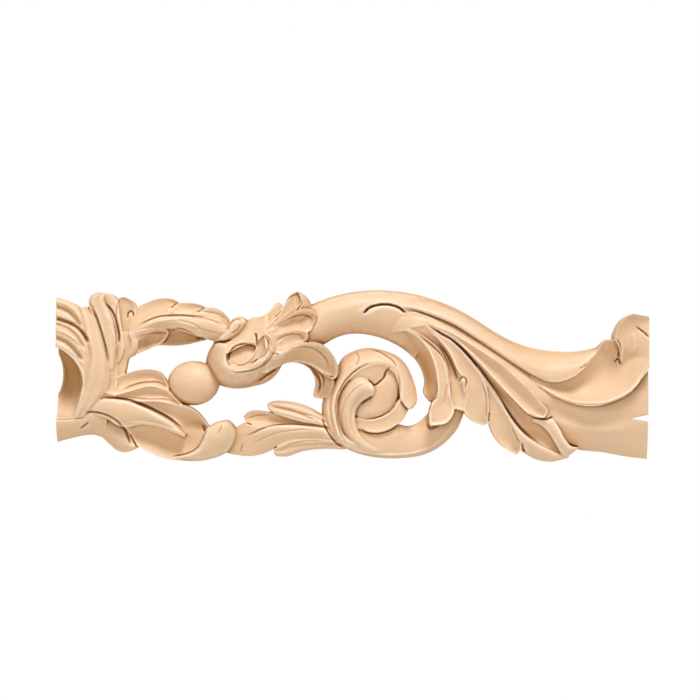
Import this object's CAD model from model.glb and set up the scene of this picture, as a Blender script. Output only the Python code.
"""Looks of an acanthus leaf moulding: one length of pierced maple carving, shown as it hangs on show.

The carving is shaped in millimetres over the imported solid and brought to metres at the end.  The carved
face looks towards -Y and the flat back lies in the plane Y = 0.
"""

import bpy
from mathutils.bvhtree import BVHTree
import numpy as np
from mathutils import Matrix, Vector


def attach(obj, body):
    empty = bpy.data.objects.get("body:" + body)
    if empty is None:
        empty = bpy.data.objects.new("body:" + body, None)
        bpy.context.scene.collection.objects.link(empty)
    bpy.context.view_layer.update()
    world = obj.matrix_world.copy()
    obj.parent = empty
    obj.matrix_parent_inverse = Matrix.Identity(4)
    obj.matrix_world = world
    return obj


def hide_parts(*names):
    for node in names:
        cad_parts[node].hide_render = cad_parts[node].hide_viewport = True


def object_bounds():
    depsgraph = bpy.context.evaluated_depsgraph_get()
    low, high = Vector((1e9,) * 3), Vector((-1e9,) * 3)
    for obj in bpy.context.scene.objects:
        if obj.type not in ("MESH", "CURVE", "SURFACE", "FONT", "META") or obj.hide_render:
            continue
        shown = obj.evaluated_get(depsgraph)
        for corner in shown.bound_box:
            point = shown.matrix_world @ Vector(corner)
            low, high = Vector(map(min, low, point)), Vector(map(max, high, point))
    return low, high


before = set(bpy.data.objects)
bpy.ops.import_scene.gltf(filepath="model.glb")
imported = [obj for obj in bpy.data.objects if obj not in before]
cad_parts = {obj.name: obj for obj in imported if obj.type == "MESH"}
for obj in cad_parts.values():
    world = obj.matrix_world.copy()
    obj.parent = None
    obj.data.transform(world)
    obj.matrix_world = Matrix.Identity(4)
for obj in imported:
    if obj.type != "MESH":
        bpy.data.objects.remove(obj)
cad_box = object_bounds()


# Left end.  The stem at the saw cut, cut from the same block of maple as all the rest.  Each leaf, stem and
# lobe is a sheet of wood laid between two rails, which are smooth curves through (x, z, height above the
# back) in millimetres.  It is hollowed or crowned between them and goes down solid to behind the back.  It
# reaches a hair past its rails, so that no slit is left between neighbours.
ACROSS = 26
ALONG = 90
BEHIND = 1.2
OVERLAP = 0.15
POINTED_SHARE = 0.45
leaves = []


def smooth(points, places):
    """Read a smooth curve through the points at the given places, from 0 at its start to 1 at its end."""
    knots = np.array(points, dtype=float)
    spans = np.linalg.norm(np.diff(knots[:, :2], axis=0), axis=1)
    reach = np.concatenate([[0.0], np.cumsum(spans)]) / spans.sum()
    widths = np.diff(reach)[:, None]
    slopes = np.diff(knots, axis=0) / widths
    inner = (slopes[:-1] * widths[1:] + slopes[1:] * widths[:-1]) / (widths[:-1] + widths[1:])
    tangents = np.vstack([slopes[:1], inner, slopes[-1:]])
    span = np.clip(np.searchsorted(reach, places, side="right") - 1, 0, len(knots) - 2)
    width = widths[span]
    t = ((places - reach[span])[:, None]) / width
    start = knots[span] * (1 + 2 * t) * (1 - t) ** 2 + tangents[span] * width * t * (1 - t) ** 2
    end = knots[span + 1] * (3 - 2 * t) * t ** 2 + tangents[span + 1] * width * t ** 2 * (t - 1)
    return start + end


def read_points(mesh):
    co = np.empty(len(mesh.vertices) * 3)
    mesh.vertices.foreach_get("co", co)
    return co.reshape(-1, 3)


def write_points(mesh, co):
    mesh.vertices.foreach_set("co", co.ravel())
    mesh.update()


def swell(u, crest, rounded):
    """Rise across a leaf from 0 at its rails to 1 at the crest, as a parabola or as a round bar."""
    side = np.where(u < crest, u / crest, (1 - u) / (1 - crest))
    fall = 1 - side
    return np.sqrt(np.clip(1 - fall ** 2, 0, 1)) if rounded else 1 - fall ** 2


def leaf(left, right, belly, crest=0.5, rounded=False, ribs=0, rib=0.0):
    """Carve one leaf between two rails.  belly is its crown, or its hollow below 0, spread along it."""
    bpy.ops.object.select_all(action="DESELECT")
    bpy.ops.mesh.primitive_grid_add(x_subdivisions=ACROSS, y_subdivisions=ALONG, size=2)
    sheet = bpy.context.object
    grid = read_points(sheet.data)
    u = (grid[:, 0] + 1) / 2
    v = (grid[:, 1] + 1) / 2
    a = smooth(left, v)
    b = smooth(right, v)
    gap = np.linalg.norm(a[:, :2] - b[:, :2], axis=1)
    fade = np.sin(np.clip(gap / (POINTED_SHARE * gap.max()), 0, 1) * np.pi / 2)
    spread = OVERLAP / np.maximum(gap, OVERLAP)
    place = a + (b - a) * (u + spread * (2 * u - 1))[:, None]
    crown = np.interp(v, np.linspace(0, 1, len(belly)), belly)
    height = place[:, 2] + crown * fade * swell(u, crest, rounded)
    height += rib * fade * np.sin(np.pi * ribs * u) ** 2
    write_points(sheet.data, np.column_stack([place[:, 0], -height, place[:, 1]]))
    bpy.ops.object.mode_set(mode="EDIT")
    bpy.ops.mesh.select_all(action="SELECT")
    bpy.ops.mesh.extrude_region_move(TRANSFORM_OT_translate={"value": (0, 0, 0)})
    bpy.ops.transform.resize(value=(1, 0, 1), center_override=(0, BEHIND, 0))
    bpy.ops.mesh.select_all(action="SELECT")
    bpy.ops.mesh.normals_make_consistent(inside=False)
    bpy.ops.object.mode_set(mode="OBJECT")
    leaves.append(sheet)


leaf(left=[(-88.5, 9.6, 3.4), (-87.2, 6.6, 2.4), (-86.2, 3.5, 2), (-85.9, -0.5, 2), (-86.7, -4.4, 2.6),
           (-88.5, -8, 4.4), (-88.5, -13.4, 8)],
     right=[(-86.5, 9.8, 10), (-83.8, 7.6, 11), (-81.2, 4.2, 11), (-79.7, 0.5, 11), (-79.3, -3, 11),
            (-80.4, -8, 10.5), (-82, -13.3, 9)],
     belly=[-3, -5, -6.2, -5.6, -3.4, 0], crest=0.72)
leaf(left=[(-88.5, 23.5, 8.5), (-84, 22, 9), (-81, 20.4, 9.5), (-79.2, 16.5, 10.5), (-78, 11, 11),
           (-77, 5, 11)],
     right=[(-88.5, 9.2, 10), (-85, 7.5, 11), (-82.4, 5.4, 11.5), (-80.6, 3, 11.5), (-79.4, 0.2, 11.5),
            (-79, -2.5, 11)],
     belly=[0.6, 0.6, 0.4, 0])
leaf(left=[(-81, 20.5, 9), (-79.7, 16.5, 10), (-78.4, 11, 11), (-77.2, 6.5, 11), (-77.9, 2, 11),
           (-79.4, -3.5, 10.5), (-80.6, -8.5, 10), (-82.5, -13, 8.5)],
     right=[(-77.2, 20.5, 9), (-75.4, 17.4, 9.5), (-73.7, 12.5, 9.5), (-72.4, 7, 9.5), (-71.7, 1.5, 9.5),
            (-72.4, -4, 9.5), (-75.5, -8.3, 9.5), (-79.5, -12.6, 8.5)],
     belly=[0.8, 1.4, 1.6, 1.2, 0.6], ribs=2, rib=0.35)
leaf(left=[(-88.5, -12.5, 9), (-84, -12.7, 9), (-79.5, -12.3, 9), (-76, -11.5, 9), (-72.5, -13, 8)],
     right=[(-88.5, -20.1, 5), (-84, -18.8, 5), (-80, -17.9, 5), (-76.5, -17.6, 5), (-72.8, -18.9, 5)],
     belly=[1.2, 1.2, 1.0, 0.6])

# Tall leaves.  Three leaves stand up beside the left stem, and the middle one stands lower, between the
# two.  Low ground closes the notches at their feet.
leaf(left=[(-72.6, 2, 9), (-73.6, 8, 9.5), (-75, 13.5, 10), (-76.3, 18, 10.5), (-77.4, 21.3, 11),
           (-77, 23.4, 11), (-75.2, 24.6, 10.5), (-73.2, 24.6, 10)],
     right=[(-70.4, 2, 8.5), (-69.9, 8, 9), (-70.1, 12.5, 9.5), (-70.9, 17, 9.7), (-72.4, 20.4, 10),
            (-73.2, 22.4, 10.4), (-73.1, 23.8, 10.4), (-73.2, 24.6, 10)],
     belly=[0.8, 1.2, 1.2, 0.8, 0.5], ribs=2, rib=0.4)
leaf(left=[(-69.8, 8, 7.5), (-70.4, 13, 7.5), (-71.3, 17, 8), (-72.8, 20.3, 8.4), (-73.8, 22.6, 9.4),
           (-73.6, 24.5, 9.8)],
     right=[(-67.4, 8, 8.5), (-68, 13, 8.5), (-68.7, 17.5, 9), (-69.1, 20.6, 9), (-69.5, 22.6, 8.8),
            (-70.9, 24, 8.8), (-73.6, 24.6, 9.6)],
     belly=[0.3, 0.3, 0.4, 0.6])
leaf(left=[(-68.6, 9, 7.5), (-68.8, 13, 7.5), (-69.2, 18, 8), (-69.4, 21.5, 8), (-68.8, 23, 8),
           (-67.4, 23.5, 8)],
     right=[(-65, 9.5, 9), (-65, 13.5, 9), (-64.5, 17, 8.5), (-63.9, 19.8, 8), (-64.7, 21.7, 8),
            (-67.4, 23.5, 8)],
     belly=[-0.4, -0.6, -1.0, -1.0])
leaf(left=[(-77, 7, 9), (-75.5, -1, 9), (-76.5, -8, 9)],
     right=[(-70, 7, 8.2), (-69.4, 0.6, 8), (-70, -7.4, 9.2)],
     belly=[0, 0, 0])
leaf(left=[(-72.6, 3, 9), (-72.2, 0, 8.8), (-71.4, -3, 8.6)],
     right=[(-70.4, 3, 8.5), (-70.6, 0, 8.4), (-71.2, -3, 8.4)],
     belly=[0.8, 0.4, 0])
leaf(left=[(-69.8, 9, 7.6), (-69.9, 6.5, 7.6), (-69.4, 4, 7.6)],
     right=[(-67.4, 9, 8.5), (-67.9, 6.5, 8.2), (-69, 4, 7.8)],
     belly=[0.3, 0.2, 0])

# Upper leaf.  A long leaf reaches right along the top in hollow lobes, with a ridge along its middle and
# a curled tip.  Its under fold hangs below, and a small eyelet is drilled where the lobes part.
leaf(left=[(-66, 14, 8.5), (-64.8, 17.6, 8), (-63.4, 20.2, 7.5), (-60.5, 21.7, 7.5), (-56.5, 22.95, 7.5),
           (-53.5, 22.8, 7.5), (-51.6, 22, 7.5)],
     right=[(-65.5, 12, 9), (-63, 14.8, 9.5), (-60.5, 16.3, 9.5), (-57.5, 17.4, 9.5), (-55, 17.9, 9.5),
            (-53, 19.4, 9), (-51.6, 22, 7.5)],
     belly=[0, -0.8, -1.2, -1.2])
leaf(left=[(-55.5, 18, 9), (-53.4, 20.4, 8.5), (-51, 21.4, 8.5), (-48, 21.55, 8.5), (-45.2, 21.1, 8.5),
           (-43.4, 20.3, 8.5)],
     right=[(-55, 17.2, 9.5), (-52, 17.8, 9.5), (-49, 17.9, 9.5), (-46.6, 18.4, 9), (-44.8, 19.3, 9),
            (-43.4, 20.3, 8.5)],
     belly=[0, -0.8, -1.0])
leaf(left=[(-48, 18, 9), (-45.6, 18.9, 9), (-43.2, 20.1, 9), (-40.8, 20.1, 8.5), (-38.4, 18.9, 8.5),
           (-36.6, 16.8, 8.5)],
     right=[(-48, 16.5, 10), (-45, 16.4, 10), (-42, 15.8, 10), (-39.4, 15, 10), (-37.6, 14.4, 9.5),
            (-36.4, 14.6, 9)],
     belly=[0, -0.6, -0.8])
leaf(left=[(-66, 12.5, 9), (-63, 15, 9), (-59.5, 16.9, 9), (-55.5, 17.8, 9), (-51, 17.9, 9),
           (-46.5, 17.5, 9), (-41.5, 16.8, 9.5), (-36.8, 14.6, 9)],
     right=[(-64.5, 9.5, 8), (-61, 12.2, 8), (-57, 14, 8), (-53.5, 14.2, 8), (-50, 13.4, 8),
            (-46, 12, 8), (-41.8, 10.7, 7.5), (-37.5, 10.3, 7.5)],
     belly=[0.8, 1.6, 1.8, 1.8, 1.6])
leaf(left=[(-41, 9.9, 7), (-39, 11.8, 7.5), (-37.3, 13.6, 8), (-36.2, 15.6, 8), (-34.6, 17.1, 8),
           (-32.7, 17.5, 7.5), (-31, 16.5, 7)],
     right=[(-41, 9.9, 7), (-38, 10.2, 7), (-35.4, 10.9, 7), (-33.4, 12.1, 7), (-31.9, 13.7, 7),
            (-31.1, 15.2, 7), (-31, 16.5, 7)],
     belly=[1.5, 3.5, 4, 4, 3], rounded=True)
leaf(left=[(-64.3, 9.5, 8.5), (-62, 11.7, 8.5), (-59.5, 13.1, 8.5), (-57, 13.9, 8.5), (-55, 13.7, 8.5),
           (-54.2, 12.8, 8)],
     right=[(-63.8, 6.8, 7.5), (-61, 8, 7), (-59, 8.9, 7), (-57, 9.5, 7), (-55.4, 10.8, 7.5),
            (-54.2, 12.8, 8)],
     belly=[-0.5, -2.5, -2.5, -1.5])
leaf(left=[(-58, 14, 8), (-54.5, 14.2, 7.5), (-51, 13.8, 7.5), (-48, 12.9, 7.5), (-45.5, 11.8, 7),
           (-43.4, 10.8, 6.5)],
     right=[(-58, 9.3, 5.5), (-54.5, 9.1, 5.5), (-51.5, 9.15, 5.5), (-48.5, 9.6, 5.5), (-46, 10.2, 6),
            (-43.4, 10.8, 6.5)],
     belly=[-1, -2.6, -2.4, -1.5], crest=0.4)
leaf(left=[(-67.4, 11.6, 8), (-69, 9.6, 8.5), (-70.2, 7, 8.5), (-70.9, 4, 8.5), (-71.1, 1.5, 8.5),
           (-71.6, -2, 8)],
     right=[(-64.6, 11.8, 8.5), (-64.7, 9.6, 8.5), (-65.4, 7.5, 8), (-66.7, 4.4, 7.5), (-68, 2.2, 7.5),
            (-68.4, -1.4, 7.5)],
     belly=[0, -2, -3.2, -2.6, -1])
leaf(left=[(-66, 12.8, 8.5), (-65, 10.3, 9), (-65.3, 8, 8.5), (-66.6, 5.2, 7.5)],
     right=[(-63.4, 12.6, 8.5), (-63.3, 10, 8.5), (-63.6, 7.6, 7.5), (-65, 5.8, 7)],
     belly=[0.5, 0.7, 0.4])
leaf(left=[(-69.6, 13, 8), (-69.4, 9.5, 8.2), (-70.2, 5, 8), (-70.9, -0.5, 8)],
     right=[(-65.2, 13, 8.6), (-65, 9.5, 8.6), (-66.2, 6, 7.8), (-67.6, -0.2, 7.4)],
     belly=[0, -0.4, -0.6, -0.3])

# Broad leaf and bead.  Three hollow lobes lie above the vein and one broad hollow below it.  The tip
# rolls over into a knob, a small lobe hangs at the left, and a round bead stands free above.  Low ground
# joins the hollows to the knob.
BEAD_MIDDLE = 0.42


def bead(centre, size, height):
    """Turn a round bead: its centre (x, z), its half sizes along X and Z, and its peak."""
    bpy.ops.object.select_all(action="DESELECT")
    bpy.ops.mesh.primitive_uv_sphere_add(segments=96, ring_count=64, radius=1)
    ball = bpy.context.object
    middle = height * BEAD_MIDDLE
    reach = np.array([size[0], height - middle, size[1]])
    write_points(ball.data, read_points(ball.data) * reach + np.array([centre[0], -middle, centre[1]]))
    leaves.append(ball)


leaf(left=[(-73, -3, 9), (-70.4, -1, 8.5), (-68.4, -0.1, 8), (-65.5, 0.9, 8), (-62.5, 1.6, 8),
           (-59.5, 1.6, 8), (-57, 0.8, 8), (-55.3, -1.2, 8), (-54.2, -4.2, 8)],
     right=[(-73, -5, 9.5), (-70, -5.6, 9.5), (-66.5, -4.8, 9.5), (-63.5, -3.9, 9.5),
            (-60.5, -3.1, 9.5), (-58, -3.2, 9.5), (-56, -3.8, 9), (-54.2, -4.4, 8.5)],
     belly=[0, -1.4, -2.2, -2.2, -1])
leaf(left=[(-74, -5.4, 9), (-70, -5.9, 9), (-66.5, -4.9, 9), (-63, -3.8, 9), (-60, -3.1, 9),
           (-57, -3.7, 9), (-54.2, -4.7, 9), (-52.2, -6.8, 9), (-50, -8.9, 9)],
     right=[(-73.5, -6.9, 9.5), (-70, -7, 9.5), (-66, -7.4, 10), (-62, -7.6, 10), (-58, -7.5, 10),
            (-54.5, -8, 10), (-51.8, -8.8, 9.5), (-50, -9.2, 9)],
     belly=[0, -1.4, -2, -2, -1])
leaf(left=[(-69, -7.2, 9.5), (-65, -7.5, 9.5), (-60, -7.5, 9.5), (-56, -7.6, 9.5), (-52, -8.6, 10),
           (-48.5, -9.3, 10), (-45.8, -11, 10), (-43.8, -13.3, 10), (-42.5, -15.3, 9.5)],
     right=[(-68.5, -7.7, 9.5), (-64.5, -8.4, 9.5), (-61, -9.6, 9.5), (-58, -11.1, 9.5),
            (-55, -12.9, 9.5), (-52, -14.9, 9.3), (-49, -17.1, 7.4), (-45.5, -17.8, 5.6),
            (-42.5, -15.6, 8.4)],
     belly=[0, -1.4, -2.2, -2.4, -1.6])
leaf(left=[(-79.5, -11.4, 8.5), (-76.5, -8.4, 9.5), (-73.5, -7.2, 10), (-69.5, -7.1, 10.5),
           (-65.5, -8, 10.5), (-61, -9.8, 10.5), (-57, -12, 10.5), (-53, -14.6, 10.5), (-49.3, -17.6, 10)],
     right=[(-79, -11.8, 8.4), (-75.7, -11.6, 9), (-72.4, -12.6, 9.3), (-69.6, -14.4, 9.3),
            (-67, -15.2, 9.2), (-62.5, -14.4, 9.2), (-58, -15, 9), (-54.5, -16.1, 9),
            (-51.5, -17.2, 9.5), (-49.3, -18.2, 9.5)],
     belly=[0.3, 0.9, 1.1, 0.8, 0.3])
leaf(left=[(-68, -14.6, 9), (-64.5, -13.9, 9), (-61, -14.2, 9), (-57, -15.2, 9), (-53, -16.2, 9.5),
           (-49.5, -17, 7.8), (-46.5, -16.6, 5.8), (-44.5, -16.2, 6.2), (-42.7, -15.2, 8.4)],
     right=[(-66.5, -16.2, 8), (-65.2, -18.6, 8), (-63.3, -20.8, 8), (-60, -22.7, 8), (-56.5, -24.2, 8),
            (-52.5, -25, 8), (-48.5, -25.35, 8), (-44, -25.2, 8), (-38.5, -23.6, 8)],
     belly=[-0.5, -2.4, -3.4, -2.8, -1.8], crest=0.45)
leaf(left=[(-54, -24.5, 7.6), (-50, -23.9, 8), (-47, -22.7, 8.4), (-45, -20.9, 8.8), (-44.1, -19, 9),
           (-43.5, -17, 9), (-42.6, -15.5, 9), (-40.4, -14.1, 8.4), (-36.9, -13.3, 7.5)],
     right=[(-54, -24.8, 7), (-50, -25.3, 6.6), (-46, -25.35, 6.6), (-42, -24.8, 6.6), (-38.5, -23.6, 6.6),
            (-35.9, -21.3, 6.6), (-34.6, -18.3, 6.6), (-35.1, -15, 6.8), (-36.9, -13.3, 7.5)],
     belly=[0.3, 1, 2, 3, 3.6, 3.6, 2.6], rounded=True)
leaf(left=[(-79.5, -11.6, 6.4), (-76.5, -11.5, 6), (-73, -12.3, 6), (-70, -13.9, 6), (-67.4, -15.8, 6),
           (-65.8, -17.8, 6), (-64.6, -19.6, 6.2), (-63.4, -21.4, 6.4)],
     right=[(-78, -14.5, 6.5), (-75.8, -17, 6), (-73.6, -18.7, 5.5), (-71.4, -20.8, 5.5),
            (-69.3, -22.4, 5.5), (-67.6, -22.8, 5.6), (-65.4, -22.4, 6), (-63.4, -21.4, 6.4)],
     belly=[0.8, 1.4, 1.8, 1.6])
bead(centre=(-47.05, -2.25), size=(7.65, 6.65), height=10.2)
leaf(left=[(-52.5, -12.5, 5), (-52, -16, 6.2), (-51.5, -19, 5.8), (-52.5, -21, 5.6), (-54, -22.5, 5.6)],
     right=[(-45.5, -13, 5.4), (-43.9, -17, 8.4), (-44.6, -20.5, 8.4), (-47.5, -22.8, 7.6),
            (-51, -23.9, 6.8)],
     belly=[0, -0.5, -0.5, -0.4])

# Husk.  A shell-shaped husk, the highest carving here, curls about an eye and throws out five lobes and
# an under leaf that reaches to the scroll.  Its lobes rise from a ground that covers their roots.
leaf(left=[(-38, 8, 8.5), (-34, 12, 8.5), (-28, 15, 8.5), (-22, 18, 8.5), (-14, 18, 8.5)],
     right=[(-36, 1, 8.5), (-30, 1, 8.5), (-24, 4, 8.5), (-18, 6, 9.5), (-12, 8, 9.5)],
     belly=[0, 0.4, 0.4, 0])
leaf(left=[(-40.6, 10, 7), (-42.5, 7, 5.5), (-43.2, 4, 4.5), (-42.4, 1.2, 4), (-40.4, -2, 4),
           (-37, -3.5, 4), (-33, -3.75, 4), (-29.5, -3.1, 4), (-26.5, -1.2, 4.5), (-23.8, 0.9, 6),
           (-21, 3.2, 8)],
     right=[(-37, 9.4, 12), (-37, 7.6, 12.5), (-37.2, 5.2, 12.5), (-36.6, 3.2, 12.8), (-34.6, 2, 13),
            (-32.2, 1.9, 13.5), (-29.8, 2.9, 14), (-27.6, 4.8, 14.3), (-25.8, 7, 14.3), (-24.4, 9.4, 14.3),
            (-23.4, 11.4, 14)],
     belly=[1.5, 2.6, 3, 3, 3, 2.5, 1])
leaf(left=[(-41, 9.6, 7), (-38, 10.3, 8.5), (-35.4, 11, 9.5), (-33, 12.5, 10), (-31.2, 15, 10),
           (-30.2, 16.8, 10), (-27, 17.4, 10), (-24.6, 18.4, 10)],
     right=[(-39, 7, 12), (-36.8, 6.8, 13), (-35, 7.8, 13), (-32.6, 9, 13), (-30, 9.5, 13),
            (-28.1, 9.1, 13), (-27.4, 10.8, 13.5), (-25.4, 12.6, 14)],
     belly=[0.5, 1, 1, 1, 0.8, 0.3])
leaf(left=[(-38, 5, 10.4), (-36, 7.3, 10.2), (-33.6, 8.8, 10), (-31, 9.5, 10), (-27.8, 8.8, 10)],
     right=[(-38, 3.6, 11), (-35.8, 2.2, 12), (-32.6, 1.9, 12.6), (-29.6, 3, 12.8), (-27, 6, 12.4)],
     belly=[0, 0.6, 0.6, 0])
leaf(left=[(-28.7, 13, 12.6), (-28.1, 11, 12.4), (-28, 9, 12.4), (-28.6, 7, 12.4), (-30.2, 5, 12.8),
           (-32.6, 3.7, 12.9), (-35.8, 3.2, 12.8)],
     right=[(-25.6, 12.8, 14.2), (-24, 11.3, 14.4), (-23.4, 9.3, 14.6), (-24, 7, 14.7), (-26, 4.4, 14.6),
            (-29.6, 2.2, 14.4), (-34.4, 1.4, 13.8)],
     belly=[-0.3, -0.8, -0.8, -0.6, -0.3], crest=0.55)
leaf(left=[(-24.8, 13, 13.2), (-22.6, 13.4, 13.4), (-20.6, 13, 13.2)],
     right=[(-24.2, 10, 13.8), (-22.4, 9.8, 13.8), (-20.6, 10, 13.4)],
     belly=[0, 0, 0])
leaf(left=[(-24.2, 8.4, 14), (-22, 8.4, 14), (-20, 8, 13.8)],
     right=[(-25.2, 5.2, 13.8), (-22.4, 5, 13.8), (-20, 5.8, 13.8)],
     belly=[0, 0, 0])
leaf(left=[(-31, 14.8, 10), (-30, 16.7, 10), (-27.5, 17.3, 10), (-25, 18.4, 9.5), (-23.4, 20.1, 9),
           (-22.4, 21.6, 8.5), (-21.5, 21.8, 8.5)],
     right=[(-28.5, 12.5, 13), (-26.2, 13.7, 13), (-23.6, 15.8, 12.5), (-21.8, 18, 11.5),
            (-20.9, 19.8, 10.5), (-20.9, 21.1, 9.5), (-21.5, 21.8, 8.5)],
     belly=[0, -0.5, -0.8, -0.6])
leaf(left=[(-27.5, 12.6, 13), (-24.5, 15, 12.5), (-22, 17.2, 11.5), (-20.6, 19.2, 11), (-19.6, 21.6, 11),
           (-18.3, 23.7, 11), (-15.9, 25.1, 11)],
     right=[(-25, 12.6, 14), (-21.6, 14.8, 13.5), (-18.5, 17, 12.5), (-16.3, 19, 12), (-14.9, 20.8, 12),
            (-14.7, 22.8, 12), (-15.9, 25.1, 11)],
     belly=[0, -0.8, -1.6, -1.6])
leaf(left=[(-16.8, 18.6, 11), (-15.3, 20.6, 11.5), (-15, 22.6, 11.5), (-15.9, 25.1, 11)],
     right=[(-14, 18.8, 9), (-12.4, 20.4, 8), (-13, 22.8, 7.5), (-15.9, 25.1, 9)],
     belly=[0.4, 0.6, 0.4])
leaf(left=[(-25.6, 12.4, 14), (-22.6, 14.9, 13.8), (-19.4, 17, 14), (-16.6, 19, 14), (-14, 19.7, 14),
           (-12, 19.4, 14), (-10.6, 18.2, 14), (-10.5, 16.6, 13.5)],
     right=[(-24.8, 11.8, 14), (-22, 12.4, 14), (-19, 13.1, 14), (-16, 13.7, 14), (-13.8, 13.2, 14),
            (-12.3, 13.5, 14), (-11.2, 15, 13.5), (-10.5, 16.6, 13.5)],
     belly=[0, -1.2, -3, -3.2, -2.6])
leaf(left=[(-24.3, 10.8, 14), (-22, 12, 14), (-19.5, 13, 14.2), (-17, 13.5, 14.2), (-14.9, 13.4, 14.2),
           (-13.2, 12.6, 14), (-12.9, 11.4, 14), (-13.4, 10.2, 13.8)],
     right=[(-24.3, 8, 14.5), (-22.4, 7, 14.5), (-20.4, 6.8, 14.5), (-18.4, 7.6, 14.5),
            (-16.5, 8.6, 14.5), (-15, 9.2, 14.2), (-14, 9.6, 14), (-13.4, 10.2, 13.8)],
     belly=[0, -1, -1.8, -1.8, -1])
leaf(left=[(-25.4, 6, 14), (-22.8, 5.8, 14.3), (-20.4, 6.6, 14.8), (-17.6, 8.2, 15.2), (-14.5, 9.4, 15.4),
           (-11.4, 9.8, 15.5), (-8.6, 9, 15.2), (-6.3, 6.7, 14.8), (-4.8, 4, 14.4), (-4.3, 1.6, 14),
           (-4.8, -0.4, 13.6), (-5.4, -1, 13.4)],
     right=[(-25, 1, 10), (-22, 2.8, 9.5), (-19.5, 3.8, 10), (-17, 4.15, 10), (-14.5, 4, 10.5),
            (-12.2, 3.2, 11), (-10.3, 1.9, 11.5), (-8.8, 0.8, 12), (-7.6, 0, 12.5), (-6.4, -0.6, 13),
            (-5.4, -1, 13.4)],
     belly=[0.5, -0.5, -2, -2.6, -2.6, -1.6])
leaf(left=[(-17, 4, 7.5), (-14.4, 3.3, 7.5), (-12.3, 1.8, 7.5), (-11.1, -0.2, 7.5), (-10.8, -2.4, 7.5),
           (-11.2, -4.6, 7.5), (-11.4, -6.1, 7.5), (-9, -6.9, 8)],
     right=[(-14, 4.6, 9), (-10.6, 3.2, 9.5), (-7.6, 0.8, 9.5), (-5.6, -1, 9.5), (-5.7, -3, 9.5),
            (-6.6, -4.8, 9), (-7.6, -6.3, 8.5), (-9, -6.9, 8)],
     belly=[0, -1, -1.4, -1.2, -0.6])
leaf(left=[(-29.5, -2.6, 6), (-27, -1.2, 6.5), (-24.5, 0.6, 6.5), (-21, 3.2, 6.5)],
     right=[(-29.5, -3.1, 5), (-26.6, -2.4, 5), (-24, -0.9, 5), (-22.4, 0.8, 5), (-21, 3.2, 5)],
     belly=[0.3, 0.5, 0.3])
leaf(left=[(-26, 13.2, 13.7), (-23, 13.9, 13.7), (-19.5, 14.6, 12)],
     right=[(-25.2, 5.6, 14.3), (-22.4, 5.8, 14), (-19, 6.6, 12.4)],
     belly=[0, 0, 0])
leaf(left=[(-29.5, 4.2, 12.2), (-27.2, 5.4, 13.4), (-24.8, 6, 14)],
     right=[(-29.5, 1.2, 9.2), (-27, 0.9, 9.7), (-24.8, 1, 10)],
     belly=[0.3, 0.4, 0.4])

# Arch and stem.  A plump round stem leaves the husk in an arch and runs on to the right end, where it
# thins into the cup leaf.
leaf(left=[(-16, 17.5, 5), (-12.6, 20.7, 5), (-9, 22.4, 5), (-4.5, 23.9, 5), (0, 24.85, 5),
           (4, 25.3, 5), (8, 25.4, 5), (13, 25.1, 5), (18.5, 24.2, 5), (24, 22.6, 5), (30, 20.3, 6)],
     right=[(-14, 7, 5), (-11, 8.2, 5), (-8.4, 9.5, 5), (-5, 11.4, 5), (-2, 12.4, 5), (1, 12.7, 5),
            (4.5, 12.4, 5), (8, 11.6, 5), (12, 10, 5), (15.6, 7.8, 5), (18.4, 5.4, 6)],
     belly=[7, 7.2, 7, 6.6, 6.2, 4.8, 0.4], rounded=True, crest=0.42)
leaf(left=[(14, 24.9, 5), (19, 24.1, 5), (24.5, 22.5, 5), (30.3, 20.2, 5), (36.5, 16.7, 5),
           (42.5, 12.8, 5), (48.5, 9.7, 5.5), (54.5, 7.9, 6), (60.5, 7.1, 6), (66.5, 7.1, 6),
           (72.6, 8.2, 6)],
     right=[(14, 20.6, 10.6), (18, 19.9, 11.2), (24, 17.9, 11.5), (30, 15.3, 11.5), (36, 11.5, 11.5),
            (42, 7.4, 11.5), (48, 3.4, 11.5), (54, -0.1, 11.2), (59, -1.8, 11), (65, -0.3, 11),
            (72.6, 8, 9)],
     belly=[1, 2, 2.4, 2.4, 2.4, 2, 1], crest=0.55)

# Big leaf.  The large acanthus leaf hangs from the stem in seven lobes, each hollowed with a gouge and
# edged by a thin bright rim.  It lies on a low ground, and its root fades into the arch.
leaf(left=[(13.5, 15, 10.2), (19, 12.8, 10.6), (24, 8.8, 9.2), (28, 2, 8), (29.2, -4, 8), (30.4, -9, 7.6)],
     right=[(18, 19, 11), (25, 16.4, 11), (33, 11, 9.6), (38, 3, 8.2), (40, -4, 8), (40.4, -12, 7.4)],
     belly=[0, 0, 0, 0])
leaf(left=[(26, 17, 8.4), (34, 12.6, 8), (42, 7, 7.6), (50, 2, 7.6), (57, -3, 7.6), (63, -7, 7.6)],
     right=[(34, 4, 7.4), (38.5, -3, 7), (41.5, -11, 7), (46, -18, 7), (52, -21.6, 6.6),
            (60, -23.4, 6)],
     belly=[0, 0, 0, 0])
leaf(left=[(10, 11, 5), (15.4, 8, 5), (18.6, 5.2, 5), (20.6, 2, 5), (21.6, -1.5, 5.5), (21.3, -5.4, 6.5),
           (23.1, -7.9, 7.5)],
     right=[(13, 14.5, 9), (18.4, 12, 10.8), (21.8, 8.6, 11), (23.7, 4.6, 11), (24.8, 0.4, 11),
            (25.3, -4.4, 10.5), (23.1, -7.9, 7.5)],
     belly=[-0.6, -1.4, -1.8, -1.8, -1])
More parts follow.
